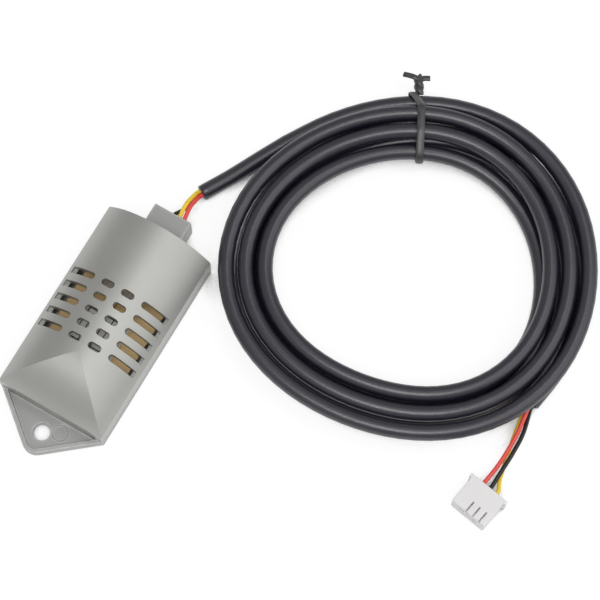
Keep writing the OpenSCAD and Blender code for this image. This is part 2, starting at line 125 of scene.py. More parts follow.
def bump(x):
    return (1 + math.cos(math.pi * x)) / 2 if abs(x) < 1 else 0.0


def cosd(a):
    return math.cos(math.radians(a))


def smooth(points, steps):
    """Rounded curve through the points."""
    last = len(points) - 1
    curve = []
    for i in range(last):
        a = points[max(0, i - 1)]
        b = points[i]
        c = points[i + 1]
        d = points[min(last, i + 2)]
        for j in range(steps):
            t = j / steps
            curve.append((2 * b + (c - a) * t + (2 * a - 5 * b + 4 * c - d) * t * t
                          + (3 * b - a - 3 * c + d) * t * t * t) / 2)
    return curve + [points[last]]


def lengthways(path):
    """Distance of each point along the path."""
    far = [0.0]
    for a, b in zip(path, path[1:]):
        far.append(far[-1] + (b - a).length)
    return far


# Route of the coil: angles are clockwise from the tie, loops are counted from the plug end

UP_WAY = Vector((-math.sin(TIE_TURN), math.cos(TIE_TURN)))
RIGHT_WAY = Vector((math.cos(TIE_TURN), math.sin(TIE_TURN)))


def away(at):
    return cosd(at) * UP_WAY + math.sin(math.radians(at)) * RIGHT_WAY


# Whole turns and a half, which keep the angles above zero
WRAP_SHIFT = 10.5 * 360


def wrapped(at):
    return (at + WRAP_SHIFT) % 360 - 180


def coil_drop(s):
    return ease(DROP_FROM, LOOPS, s)


def coil_radius(s):
    at = PLUG_AT - 360 * s
    outwards = abs(s - TURN_BACK) / TURN_BACK
    upper = ease(LEAN_FROM, LEAN_TO, s)
    return (COIL_R - LOOP_PITCH * TURN_BACK * (1 - outwards)
            + (1 - upper) * LOWER_LEAN * cosd(at - LOWER_LEAN_AT)
            + upper * UPPER_LEAN * cosd(at - UPPER_LEAN_AT)
            + COIL_OVAL * cosd(2 * (at - OVAL_AT)) + CORNER * cosd(3 * (at - CORNER_AT))
            - DROP_TUCK * coil_drop(s))


def coil_height(s):
    at = PLUG_AT - 360 * s
    climb = ease(LOWER_LOOPS, LOWER_LOOPS + CLIMB_LOOPS, s)
    rise = TIE_LIFT * bump(wrapped(at) / TIE_RISE_HALF)
    return CABLE_D / 2 + rise + LAYER_STEP * (climb - coil_drop(s))


def coil_point(s):
    flat = COIL_CENTRE + coil_radius(s) * away(PLUG_AT - 360 * s)
    return Vector((flat[0], flat[1], coil_height(s)))


# Share of a loop over which a heading is taken
HEAD_STEP = 0.001


def coil_head(s, way):
    v = coil_point(s + HEAD_STEP * way) - coil_point(s)
    return Vector((v[0], v[1], 0)).normalized()


PLUG_END_HEAD = coil_head(0, -1)
LEAD_END_HEAD = coil_head(LOOPS, 1)
PLUG_END = coil_point(0) + PLUG_RUN * PLUG_END_HEAD
LEAD_END = coil_point(LOOPS) + CABLE_D * LEAD_END_HEAD


LOOP_RINGS = 393
LEAD_STEPS = 8


def cable_route():
    """From the sheath's start by the block, round the loops, to the sheath's end by the plug."""
    lead = smooth([SHEATH_START + LEAD_STRAIGHT * SHEATH_HEAD, LEAD_POINTS[1], LEAD_POINTS[0],
                   LEAD_END + LEAD_STRAIGHT * LEAD_END_HEAD], LEAD_STEPS)
    loops = [coil_point(LOOPS * (1 - i / LOOP_RINGS)) for i in range(LOOP_RINGS + 1)]
    return [SHEATH_START] + lead + [LEAD_END] + loops + [PLUG_END]


# Meshes

def side_and_up(path, i):
    """Level side way and upward way of a path at one of its points."""
    head = (path[min(len(path) - 1, i + 1)] - path[max(0, i - 1)]).normalized()
    side = head.cross(UP).normalized()
    return side, side.cross(head)


def round_ring(centre, side, up, r, sides):
    return [centre + r * (math.cos(a) * side + math.sin(a) * up)
            for a in (2 * math.pi * (k + 0.5) / sides for k in range(sides))]


def skin(name, rings, loop=False):
    """Smooth mesh over a row of rings, closed at its ends or joined into a loop."""
    sides = len(rings[0])
    mesh = bpy.data.meshes.new(name)
    bm = bmesh.new()
    rows = [[bm.verts.new(p * MM) for p in ring] for ring in rings]
    pairs = list(zip(rows, rows[1:]))
    if loop:
        pairs.append((rows[-1], rows[0]))
    for a, b in pairs:
        for k in range(sides):
            n = (k + 1) % sides
            bm.faces.new((a[k], a[n], b[n], b[k]))
    if not loop:
        bm.faces.new(list(reversed(rows[0])))
        bm.faces.new(rows[-1])
    bmesh.ops.recalc_face_normals(bm, faces=bm.faces)
    bm.to_mesh(mesh)
    bm.free()
    for face in mesh.polygons:
        face.use_smooth = len(face.vertices) == 4
    return mesh


# Softening of a tube's ends, as a share of its radius
END_SOFT = 0.12


def rounded_end_rings(path, r, sides):
    """Rings of a tube with softened ends."""
    rings = []
    last = len(path) - 1
    soft = END_SOFT * r
    for i, p in enumerate(path):
        side, up = side_and_up(path, i)
        if i in (0, last):
            inward = (path[1] - p if i == 0 else path[last - 1] - p).normalized()
            ends = [round_ring(p, side, up, r - soft, sides),
                    round_ring(p + soft * inward, side, up, r, sides)]
            rings += ends if i == 0 else list(reversed(ends))
        else:
            rings.append(round_ring(p, side, up, r, sides))
    return rings


def boxes_mesh(name, boxes, soften):
    """One mesh of bevelled blocks, each given by its lowest and highest corner."""
    mesh = bpy.data.meshes.new(name)
    bm = bmesh.new()
    for low, high in boxes:
        made = bmesh.ops.create_cube(bm, size=1.0)["verts"]
        for v in made:
            v.co = Vector([MM * (low[i] if v.co[i] < 0 else high[i]) for i in range(3)])
        edges = list({e for v in made for e in v.link_edges})
        bmesh.ops.bevel(bm, geom=edges, offset=soften * MM, segments=2, affect="EDGES", profile=0.5)
    bm.to_mesh(mesh)
    bm.free()
    return mesh


def add_piece(name, mesh, finish, body="base", stands_for=()):
    piece = bpy.data.objects.new(name, mesh)
    bpy.context.scene.collection.objects.link(piece)
    mesh.materials.append(finish)
    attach(piece, body)
    if stands_for:
        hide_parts(*stands_for)
    return piece


# Shared effects, each one shader node group

def new_group(name, inputs, outputs):
    group = bpy.data.node_groups.new(name, "ShaderNodeTree")
    for label, kind, value in inputs:
        socket = group.interface.new_socket(label, in_out="INPUT", socket_type=kind)
        socket.default_value = value
    for label, kind in outputs:
        group.interface.new_socket(label, in_out="OUTPUT", socket_type=kind)
    source = group.nodes.new("NodeGroupInput")
    sink = group.nodes.new("NodeGroupOutput")
    return group, source, sink


def math_node(tree, kind, a, b):
    node = tree.nodes.new("ShaderNodeMath")
    node.operation = kind
    for socket, value in zip(node.inputs, (a, b)):
        if isinstance(value, (int, float)):
            socket.default_value = value
        else:
            tree.links.new(value, socket)
    return node.outputs[0]


def noise_node(tree, vector, scale, detail):
    node = tree.nodes.new("ShaderNodeTexNoise")
    node.inputs["Detail"].default_value = detail
    tree.links.new(vector, node.inputs["Vector"])
    if isinstance(scale, (int, float)):
        node.inputs["Scale"].default_value = scale
    else:
        tree.links.new(scale, node.inputs["Scale"])
    return node.outputs["Fac"]


def mix_colours(tree, share, a, b):
    node = tree.nodes.new("ShaderNodeMix")
    node.data_type = "RGBA"
    for socket, value in ((node.inputs[0], share), (node.inputs[6], a), (node.inputs[7], b)):
        if isinstance(value, (int, float)):
            socket.default_value = value
        elif isinstance(value, tuple):
            socket.default_value = (*value, 1.0)
        else:
            tree.links.new(value, socket)
    return node.outputs[2]


def surface_place(tree):
    return tree.nodes.new("ShaderNodeTexCoord").outputs["Object"]


def make_moulded_grain():
    """Fine spark-eroded grain of a moulding: height for bump, and a slow drift of tone."""
    group, source, sink = new_group("moulded_grain", [("Grain", "NodeSocketFloat", 4000.0)],
                                    [("Height", "NodeSocketFloat"), ("Drift", "NodeSocketFloat")])
    place = surface_place(group)
    fine = noise_node(group, place, source.outputs["Grain"], 3.0)
    slow = noise_node(group, place, 90.0, 2.0)
    group.links.new(fine, sink.inputs["Height"])
    group.links.new(slow, sink.inputs["Drift"])
    return group


def make_edge_wear_and_highlight():
    """Mask of the outer edges, where handling has polished the surface and where a painted highlight is laid.
    """
    group, source, sink = new_group("edge_wear_and_highlight", [("Reach", "NodeSocketFloat", 0.0003)],
                                    [("Mask", "NodeSocketFloat")])
    rounded = group.nodes.new("ShaderNodeBevel")
    rounded.samples = 4
    group.links.new(source.outputs["Reach"], rounded.inputs["Radius"])
    plain = group.nodes.new("ShaderNodeNewGeometry")
    dot = group.nodes.new("ShaderNodeVectorMath")
    dot.operation = "DOT_PRODUCT"
    group.links.new(rounded.outputs["Normal"], dot.inputs[0])
    group.links.new(plain.outputs["Normal"], dot.inputs[1])
    turned = math_node(group, "SUBTRACT", 1.0, dot.outputs["Value"])
    patchy = noise_node(group, surface_place(group), 700.0, 2.0)
    mask = math_node(group, "MULTIPLY", turned, math_node(group, "MULTIPLY", patchy, 3.0))
    capped = math_node(group, "MINIMUM", mask, 1.0)
    group.links.new(capped, sink.inputs["Mask"])
    return group


def make_sheath_scuff():
    """Drawn streaks and faint scuffs of an extruded sheath."""
    group, source, sink = new_group("sheath_scuff", [("Fineness", "NodeSocketFloat", 900.0)],
                                    [("Height", "NodeSocketFloat"), ("Scuff", "NodeSocketFloat")])
    place = surface_place(group)
    fine = noise_node(group, place, source.outputs["Fineness"], 4.0)
    broad = noise_node(group, place, 160.0, 3.0)
    raised = math_node(group, "MAXIMUM", math_node(group, "SUBTRACT", broad, 0.52), 0.0)
    worn = math_node(group, "MULTIPLY", raised, 3.0)
    group.links.new(fine, sink.inputs["Height"])
    group.links.new(math_node(group, "MINIMUM", worn, 1.0), sink.inputs["Scuff"])
    return group


MOULDED_GRAIN = make_moulded_grain()
EDGE_WEAR_AND_HIGHLIGHT = make_edge_wear_and_highlight()
SHEATH_SCUFF = make_sheath_scuff()


# Finishes

class Finish:
    """A material with its principled shader, and short ways to wire it."""

    def __init__(self, name, roughness, specular=0.5, metallic=0.0):
        self.material = bpy.data.materials.new(name)
        self.material.use_nodes = True
        self.tree = self.material.node_tree
        self.shader = self.tree.nodes["Principled BSDF"]
        self.shader.inputs["Roughness"].default_value = roughness
        self.shader.inputs["Specular IOR Level"].default_value = specular
        self.shader.inputs["Metallic"].default_value = metallic

    def effect(self, group, **values):
        node = self.tree.nodes.new("ShaderNodeGroup")
        node.node_tree = group
        for label, value in values.items():
            node.inputs[label].default_value = value
        return node.outputs

    def colour(self, output):
        self.tree.links.new(output, self.shader.inputs["Base Color"])

    def relief(self, height, strength, depth):
        node = self.tree.nodes.new("ShaderNodeBump")
        node.inputs["Strength"].default_value = strength
        node.inputs["Distance"].default_value = depth * MM
        self.tree.links.new(height, node.inputs["Height"])
        self.tree.links.new(node.outputs["Normal"], self.shader.inputs["Normal"])

    def rough(self, share, low, high):
        node = self.tree.nodes.new("ShaderNodeMapRange")
        node.inputs["To Min"].default_value = low
        node.inputs["To Max"].default_value = high
        self.tree.links.new(share, node.inputs["Value"])
        self.tree.links.new(node.outputs["Result"], self.shader.inputs["Roughness"])


def moulded_plastic(name, dark, light, worn_and_lit_edge, grain, depth, metallic=0.0, edge_light_reach=0.0003, edge_light_strength=0.5):
    finish = Finish(name, 0.5, 0.4, metallic)
    relief = finish.effect(MOULDED_GRAIN, Grain=grain)
    edge_light = finish.effect(EDGE_WEAR_AND_HIGHLIGHT, Reach=edge_light_reach)
    tone = mix_colours(finish.tree, relief["Drift"], dark, light)
    speck = mix_colours(finish.tree, math_node(finish.tree, "MULTIPLY", relief["Height"], 0.18), tone, dark)
    # Edges mixed toward a lighter colour: partly handling wear, partly a painted highlight
    edge_light_share = math_node(finish.tree, "MULTIPLY", edge_light["Mask"], edge_light_strength)
    finish.colour(mix_colours(finish.tree, edge_light_share, speck, worn_and_lit_edge))
    finish.rough(relief["Height"], 0.42, 0.54)
    finish.relief(relief["Height"], 0.35, depth)
    return finish.material


def insulation(name, base, scuffed, roughness, specular=0.5):
    finish = Finish(name, roughness, specular)
    skin_marks = finish.effect(SHEATH_SCUFF, Fineness=1500.0)
    finish.colour(mix_colours(finish.tree, skin_marks["Scuff"], base, scuffed))
    finish.rough(skin_marks["Height"], roughness - 0.08, roughness + 0.1)
    finish.relief(skin_marks["Height"], 0.15, 0.04)
    return finish.material


def tinned_metal(name, dull, bright):
    finish = Finish(name, 0.35, 0.5, 1.0)
    marks = finish.effect(SHEATH_SCUFF, Fineness=2500.0)
    finish.colour(mix_colours(finish.tree, marks["Height"], dull, bright))
    finish.rough(marks["Scuff"], 0.28, 0.5)
    finish.relief(marks["Height"], 0.2, 0.03)
    return finish.material


def laminate():
    """Tan board laminate with crossed fibres under lacquer."""
    finish = Finish("board_laminate", 0.4, 0.5)
    tree = finish.tree
    place = surface_place(tree)
    threads = []
    for axis in ("X", "Y"):
        wave = tree.nodes.new("ShaderNodeTexWave")
        wave.bands_direction = axis
        wave.inputs["Scale"].default_value = 420.0
        wave.inputs["Distortion"].default_value = 1.5
        tree.links.new(place, wave.inputs["Vector"])
        threads.append(wave.outputs["Fac"])
    weave = math_node(tree, "MULTIPLY", threads[0], threads[1])
    cloudy = noise_node(tree, place, 130.0, 3.0)
    tan = mix_colours(tree, cloudy, (0.92, 0.64, 0.30), (0.96, 0.71, 0.36))
    finish.colour(mix_colours(tree, math_node(tree, "MULTIPLY", weave, 0.3), tan, (0.84, 0.55, 0.24)))
    finish.rough(cloudy, 0.32, 0.5)
    finish.relief(weave, 0.2, 0.03)
    return finish.material


def moulded_resin(name, dark, light):
    """Matt moulded resin of a chip's body."""
    finish = Finish(name, 0.55, 0.4)
    relief = finish.effect(MOULDED_GRAIN, Grain=5000.0)
    finish.colour(mix_colours(finish.tree, relief["Height"], dark, light))
    finish.rough(relief["Height"], 0.5, 0.7)
    finish.relief(relief["Height"], 0.3, 0.02)
    return finish.material


def plug_moulding():
    """Milky moulding that lets a little light through."""
    finish = Finish("plug_milky", 0.38, 0.5)
    relief = finish.effect(MOULDED_GRAIN, Grain=2500.0)
    edge_light = finish.effect(EDGE_WEAR_AND_HIGHLIGHT, Reach=0.0002)
    tone = mix_colours(finish.tree, relief["Drift"], (0.84, 0.82, 0.82), (0.88, 0.87, 0.87))
    # Edges mixed toward near-white: partly handling wear, partly a painted highlight
    edge_light_share = math_node(finish.tree, "MULTIPLY", edge_light["Mask"], 0.4)
    finish.colour(mix_colours(finish.tree, edge_light_share, tone, (0.9, 0.9, 0.9)))
    finish.rough(relief["Height"], 0.3, 0.48)
    finish.relief(relief["Height"], 0.15, 0.03)
    finish.shader.inputs["Subsurface Weight"].default_value = 0.35
    finish.shader.inputs["Subsurface Radius"].default_value = (1.0, 0.95, 0.9)
    finish.shader.inputs["Subsurface Scale"].default_value = 0.8 * MM
    return finish.material


# Third colour of each moulded finish: its edges, worn and lit by a painted highlight
HOOD_GREY = moulded_plastic("hood_grey", (0.47, 0.475, 0.45), (0.52, 0.52, 0.50), (0.58, 0.58, 0.56),
                            4200.0, 0.05, metallic=0.8)
# Near-white edge colour at full share, 1 mm wide: a painted highlight on the shell's rims and edges, over
# some wear
SHELL_GREY = moulded_plastic("shell_grey", (0.40, 0.405, 0.395), (0.45, 0.45, 0.44), (0.9, 0.9, 0.87),
                             4200.0, 0.05, metallic=0.5, edge_light_reach=0.001, edge_light_strength=1.0)
SHEATH_BLACK = insulation("sheath_black", (0.013, 0.0128, 0.024), (0.02, 0.0198, 0.033), 0.33, 1.0)
WIRE_RED = insulation("wire_red", (0.95, 0.09, 0.08), (0.97, 0.14, 0.12), 0.34)
WIRE_YELLOW = insulation("wire_yellow", (1.0, 0.72, 0.05), (1.0, 0.78, 0.09), 0.34)
WIRE_BLACK = insulation("wire_black", (0.012, 0.012, 0.013), (0.03, 0.03, 0.03), 0.34)
TIE_BLACK = insulation("tie_black", (0.04, 0.038, 0.04), (0.12, 0.115, 0.12), 0.36, 0.8)
TIN = tinned_metal("tin", (0.45, 0.45, 0.46), (0.72, 0.72, 0.73))
COPPER = tinned_metal("lacquered_copper", (0.42, 0.2, 0.07), (0.55, 0.28, 0.1))
CARBON = insulation("carbon_print", (0.05, 0.045, 0.04), (0.09, 0.08, 0.07), 0.5)
LAMINATE = laminate()
CHIP_GREY = moulded_resin("chip_grey", (0.66, 0.58, 0.52), (0.75, 0.68, 0.62))
CHIP_BLACK = moulded_resin("chip_black", (0.03, 0.03, 0.032), (0.05, 0.05, 0.05))
CERAMIC = moulded_plastic("element_ceramic", (0.88, 0.86, 0.83), (0.93, 0.91, 0.88), (0.95, 0.95, 0.93),
                          3000.0, 0.02)
FIRED_TAN = moulded_plastic("fired_tan", (0.38, 0.24, 0.12), (0.46, 0.30, 0.16), (0.5, 0.36, 0.2),
                            3000.0, 0.02)
BEAD_RESIN = insulation("bead_resin", (0.012, 0.011, 0.01), (0.03, 0.03, 0.03), 0.2)
SEAL_SOFT = insulation("seal_soft", (0.06, 0.06, 0.06), (0.09, 0.09, 0.09), 0.6)
PLUG_MILKY = plug_moulding()


# Points closer than this, in millimetres, are joined
JOIN_REACH = 0.001
# Faces within this angle are one flat face, and edges over the other angle are sharp
FLAT_WITHIN = math.radians(1.0)
SHARP_OVER = math.radians(40)


def dress(node, finish, soften=0.0, joined_up=False):
    """Gives a solid its finish, and joins up its faces and softens its sharp edges where asked."""
    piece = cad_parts[node]
    piece.data.materials.clear()
    piece.data.materials.append(finish)
    if soften or joined_up:
        joints = piece.modifiers.new("joined_points", "WELD")
        joints.merge_threshold = JOIN_REACH * MM
    if soften:
        flat = piece.modifiers.new("flat_faces", "DECIMATE")
        flat.decimate_type = "DISSOLVE"
        flat.angle_limit = FLAT_WITHIN
        edge = piece.modifiers.new("soft_edges", "BEVEL")
        edge.width = soften * MM
        edge.segments = 2
        edge.limit_method = "ANGLE"
        edge.angle_limit = SHARP_OVER
        edge.use_clamp_overlap = False
        edge.loop_slide = False
        edge.harden_normals = True


# Camera, at the photograph's angle
VIEW_TURN = math.radians(30.19)
VIEW_RISE = math.radians(73.34)
VIEW_TARGET = Vector((34.145, 29.815, 0)) * MM
VIEW_DISTANCE = 529.6 * MM
VIEW_FOCUS_PX = 2329.7
FRAME_PX = 600
SENSOR_W = 36.0


def add_camera():
    back = Vector((math.sin(VIEW_TURN) * math.cos(VIEW_RISE), -math.cos(VIEW_TURN) * math.cos(VIEW_RISE),
                   math.sin(VIEW_RISE)))
    lens = bpy.data.cameras.new("photo_camera")
    lens.sensor_width = SENSOR_W
    lens.lens = SENSOR_W * VIEW_FOCUS_PX / FRAME_PX
    lens.clip_start = 0.01
    lens.clip_end = 20.0
    camera = bpy.data.objects.new("photo_camera", lens)
    bpy.context.scene.collection.objects.link(camera)
    camera.location = VIEW_TARGET + VIEW_DISTANCE * back
    camera.rotation_euler = (-back).to_track_quat("-Z", "Y").to_euler()
    bpy.context.scene.camera = camera


add_camera()


# Cable: one sheath from the block, round its loops, to the plug
CABLE_SIDES = 20
# Open mouth of the cut sheath: share of its radius, and depth
MOUTH_SHARE = 0.68
MOUTH_DEPTH = 0.5
cable_path = cable_route()


def open_end_rings(path, r, sides):
    """Rings of a sheath whose cut ends are open round the cores."""
    rings = rounded_end_rings(path, r, sides)
    bore = MOUTH_SHARE * r
    for end, inner in ((0, 1), (-1, -2)):
        side, up = side_and_up(path, 0 if end == 0 else len(path) - 1)
        inward = (path[inner] - path[end]).normalized()
        mouth = round_ring(path[end], side, up, bore, sides)
        floor = round_ring(path[end] + MOUTH_DEPTH * inward, side, up, bore, sides)
        rings = [floor, mouth] + rings if end == 0 else rings + [mouth, floor]
    return rings


cable = add_piece("cable", skin("cable", open_end_rings(cable_path, CABLE_D / 2, CABLE_SIDES)),
                  SHEATH_BLACK, stands_for=("cable_lead", "cable_coil"))


# Cores at both ends of the cable
CORE_SIDES = 14
CORE_STEPS = 8
CORE_STEPS_INSIDE = 6
# Level stretches of a core over the board and into the slot, and its run into the sheath
CORE_OVER_PAD = 2.2
CORE_BEFORE_SLOT = 1.2
CORE_SUNK = 0.4
# Straight stretches of a core behind the plug and in it
CORE_BEHIND_PLUG = 1.2
CORE_IN_PLUG = 1.7


def core_spot(centre, head, at, r):
    side = head.cross(UP).normalized()
    up = side.cross(head)
    return centre + r * (cosd(at) * side + math.sin(math.radians(at)) * up)


def lead_core(x, at, off):
    top = BOARD_TOP + PAD_H + CORE_D / 2
    end = core_spot(SHEATH_START, SHEATH_HEAD, at, CORE_IN_SHEATH)
    out = Vector((x, BLOCK_FAR_Y + CORE_OUT, SLOT_Z))
    last = end - SHEATH_HEAD
    inside = smooth([Vector((x, PAD_Y, top)), Vector((x, PAD_Y + CORE_OVER_PAD, top)),
                     Vector((x, BLOCK_NEAR_Y - CORE_BEFORE_SLOT, SLOT_Z)), Vector((x, BLOCK_NEAR_Y, SLOT_Z))],
                    CORE_STEPS_INSIDE)
    outside = smooth([out, (out + last) / 2 + off, last], CORE_STEPS)
    return inside + [Vector((x, BLOCK_FAR_Y, SLOT_Z))] + outside + [end, end + CORE_SUNK * SHEATH_HEAD]


def plug_point(x, y, z):
    return PLUG_PLACE + Vector((x * math.cos(PLUG_TURN) - y * math.sin(PLUG_TURN),
                                x * math.sin(PLUG_TURN) + y * math.cos(PLUG_TURN), z))


def plug_core(x, at, way):
    start = core_spot(PLUG_END, PLUG_END_HEAD, at, CORE_IN_SHEATH)
    free = smooth([start + PLUG_END_HEAD] + way + [plug_point(x, CORE_BEHIND_PLUG, CONTACT_Z)], CORE_STEPS)
    held = [plug_point(x, 0, CONTACT_Z), plug_point(x, -CORE_IN_PLUG, CONTACT_Z)]
    return [start - CORE_SUNK * PLUG_END_HEAD, start] + free + held


CORES = (
    ("red_lead_wire", "wire_red", WIRE_RED, lead_core(CORE_X[2], 30, CORE_ARCH)),
    ("yellow_lead_wire", "wire_yellow", WIRE_YELLOW, lead_core(CORE_X[1], 150, CORE_ARCH)),
    ("black_lead_wire", "wire_black", WIRE_BLACK, lead_core(CORE_X[0], 270, CORE_SAG)),
    ("red_plug_wire", "wire_red", WIRE_RED, plug_core(-CONTACT_PITCH, 90, RED_WAY)),
    ("yellow_plug_wire", "wire_yellow", WIRE_YELLOW, plug_core(CONTACT_PITCH, 330, YELLOW_WAY)),
    ("black_plug_wire", "wire_black", WIRE_BLACK, plug_core(0, 210, BLACK_WAY)),
)
cores = [add_piece(node.replace("wire", "core"),
                   skin(node, rounded_end_rings(path, CORE_D / 2, CORE_SIDES)),
                   finish, stands_for=(node,)) for node, slot, finish, path in CORES]


# Tie: a coated wire band round the loops, its twisted neck and two tails
TIE_STEPS = 96
TIE_STRANDS = 6
tie_spots = [(coil_radius(s), coil_height(s))
             for s in ((PLUG_AT - TIE_AT) / 360 + k for k in range(TIE_STRANDS))]
tie_reach, tie_z = max(tie_spots)


def outline_round(spots, r):
    """Tight line round circles of radius r at the spots, as evenly spaced points."""
    points = sorted({(x + r * cosd(a), z + r * math.sin(math.radians(a)))
                     for x, z in spots for a in range(0, 360, 6)})

    def half(row):
        chain = []
        for p in row:
            while len(chain) > 1 and ((chain[-1][0] - chain[-2][0]) * (p[1] - chain[-2][1])
                                      - (chain[-1][1] - chain[-2][1]) * (p[0] - chain[-2][0])) <= 0:
                chain.pop()
            chain.append(p)
        return chain[:-1]

    ring = [Vector(p) for p in half(points) + half(points[::-1])]
    far = lengthways(ring + ring[:1])
    even = []
    i = 0
    for step in range(TIE_STEPS):
        want = far[-1] * step / TIE_STEPS
        while far[i + 1] < want:
            i += 1
        share = (want - far[i]) / (far[i + 1] - far[i])
        even.append(ring[i].lerp(ring[(i + 1) % len(ring)], share))
    return even


RIBBON_SIDES = 16
# Squareness of the ribbon's section across and through it, where 1 is round
RIBBON_SQUARE_X = 0.6
RIBBON_SQUARE_Y = 0.8
# Thickness of the ribbon's edges, as a share, and how far the wire's swell reaches over its width
RIBBON_EDGE = 0.62
RIBBON_SWELL = 0.38
SWELL_REACH = 0.4


def ribbon_ring(centre, side, out, width, thickness):
    """Section of the coated tie: a flat ribbon, thicker over the wire in its middle."""
    ring = []
    for k in range(RIBBON_SIDES):
        a = 2 * math.pi * (k + 0.5) / RIBBON_SIDES
        x = math.copysign(abs(math.cos(a)) ** RIBBON_SQUARE_X, math.cos(a)) * width / 2
        y = math.copysign(abs(math.sin(a)) ** RIBBON_SQUARE_Y, math.sin(a)) * thickness / 2
        swell = RIBBON_EDGE + RIBBON_SWELL * bump(x / (SWELL_REACH * width))
        ring.append(centre + x * side + y * swell * out)
    return ring


# Slant of the band: its shift to the side, and how it leans back beyond a kink near the neck
BAND_SHIFT = 0.7
BAND_LEAN = 0.45
BAND_KINK = 2.2


def tie_band():
    side = Vector((*away(TIE_AT + 90), 0))
    way = Vector((*away(TIE_AT), 0))
    line = outline_round(tie_spots, CABLE_D / 2 + TIE_GAP / 2 + TIE_T / 2)
    kink = tie_reach - BAND_KINK
    rings = []
    for i, p in enumerate(line):
        head = (line[(i + 1) % TIE_STEPS] - line[i - 1]).normalized()
        out = head[1] * way - head[0] * UP
        slant = BAND_SHIFT - BAND_LEAN * max(0.0, p[0] - kink)
        centre = Vector((*COIL_CENTRE, 0)) + p[0] * way + p[1] * UP + slant * side
        rings.append(ribbon_ring(centre, side, out, TIE_W, TIE_T))
    return rings


NECK_L = 4.4
NECK_TURNS = 1.25
NECK_STEPS = 30
NECK_TURN = -5
NECK_SHIFT = 0.3
# Strands of the neck: distance from its middle, its swell, pitch of the twist, and section
STRAND_OUT = 0.5
STRAND_SWELL = 0.15
STRAND_TWIST = 0.9
STRAND_W = 1.5
STRAND_T = 1.25
TAIL_W = 1.3
TAIL_T = 0.9
TAIL_STEPS = 8
neck_way = Vector((*away(TIE_AT + NECK_TURN), 0))
neck_side = Vector((*away(TIE_AT + NECK_TURN + 90), 0))
neck_root = COIL_CENTRE + (tie_reach + CABLE_D / 2 + TIE_GAP) * away(TIE_AT)
neck_foot = Vector((*neck_root, tie_z)) + NECK_SHIFT * neck_side


def tie_strand(turn):
    """One strand of the neck, twisted round the other."""
    rings = []
    for i in range(NECK_STEPS + 1):
        t = i / NECK_STEPS
        a = 360 * NECK_TURNS * t + turn
        out = cosd(a) * neck_side + math.sin(math.radians(a)) * UP
        pull = STRAND_OUT + STRAND_SWELL * math.sin(math.pi * t)
        centre = neck_foot + NECK_L * t * neck_way + pull * out
        head = (neck_way + STRAND_TWIST * out.cross(neck_way)).normalized()
        rings.append(ribbon_ring(centre, head.cross(out).normalized(), out, STRAND_W, STRAND_T))
    return rings


def tie_tail(points):
    """Flat tail of the tie, cut square."""
    line = smooth(points, TAIL_STEPS)
    rings = []
    for i, p in enumerate(line):
        side, up = side_and_up(line, i)
        rings.append(ribbon_ring(p, side, up, TAIL_W, TAIL_T))
    return rings


neck_end = neck_foot + NECK_L * neck_way
# Each tail starts in the neck, bends at its end and runs out to its tip
TAILS = (
    [neck_end - 1.2 * neck_way + 0.5 * neck_side + 0.5 * UP,
     neck_end - 0.3 * neck_way - 1.2 * neck_side + 0.8 * UP,
     Vector((28.1, 88.2, tie_z))],
    [neck_end - 1.5 * neck_way - 0.2 * UP,
     neck_end - 0.6 * neck_way + 1.0 * neck_side,
     Vector((33.9, 90.3, tie_z))],
)


def joined(name, meshes):
    """One mesh out of several."""
    bm = bmesh.new()
    for mesh in meshes:
        bm.from_mesh(mesh)
        bpy.data.meshes.remove(mesh)
    whole = bpy.data.meshes.new(name)
    bm.to_mesh(whole)
    bm.free()
    for face in whole.polygons:
        face.use_smooth = True
    return whole


tie = add_piece("tie", joined("tie", [skin("tie_band", tie_band(), loop=True)]
                              + [skin("tie_strand", tie_strand(turn)) for turn in (0, 180)]
                              + [skin("tie_tail", tie_tail(points)) for points in TAILS]),
                TIE_BLACK, stands_for=("twist_tie",))


# Solids that stay, with their finishes
dress("base_shell", SHELL_GREY, 0.15)
dress("vent_cover", HOOD_GREY)
dress("circuit_board", LAMINATE, 0.08)
dress("humidity_element", CERAMIC, 0.06)
dress("thermistor", BEAD_RESIN, joined_up=True)
dress("controller_chip", CHIP_GREY, 0.06)
dress("voltage_regulator", CHIP_BLACK, 0.05)
dress("capacitors", FIRED_TAN, 0.06)
dress("resistors", CHIP_BLACK, 0.05)
dress("wire_solder_joints", TIN)
dress("wire_seal", SEAL_SOFT)
dress("plug_housing", PLUG_MILKY, 0.12)
dress("plug_terminals", TIN, 0.05)


# Details of the board: comb electrodes, tracks and the metal ends of its small parts
# Depth by which a printed detail is sunk into what carries it
PRINT_SUNK = 0.01
COMB_T = 0.04
COMB_MARGIN_X = 0.8
COMB_MARGIN_Y = 0.9
COMB_BAR = 0.3
COMB_FINGERS = 7
FINGER_HALF_W = 0.13
FINGER_SHORT = 1.1


def comb_boxes():
    """Two combs of printed fingers that reach between each other on the humidity element."""
    low = ELEMENT_TOP - PRINT_SUNK
    high = ELEMENT_TOP + COMB_T
    half_x = ELEMENT_SIZE[0] / 2 - COMB_MARGIN_X
    half_y = ELEMENT_SIZE[1] / 2 - COMB_MARGIN_Y
    boxes = []
    for side in (-1, 1):
        edge = sorted((side * half_y, side * (half_y - COMB_BAR)))
        boxes.append(((-half_x, ELEMENT_Y + edge[0], low), (half_x, ELEMENT_Y + edge[1], high)))
    for i in range(COMB_FINGERS):
        x = -half_x + COMB_BAR + i * (2 * half_x - 2 * COMB_BAR) / (COMB_FINGERS - 1)
        near = -half_y if i % 2 else -half_y + FINGER_SHORT
        far = half_y - FINGER_SHORT if i % 2 else half_y
        boxes.append(((x - FINGER_HALF_W, ELEMENT_Y + near, low), (x + FINGER_HALF_W, ELEMENT_Y + far, high)))
    return boxes


add_piece("comb_electrodes", boxes_mesh("comb_electrodes", comb_boxes(), 0.008), CARBON)


TRACK_T = 0.03
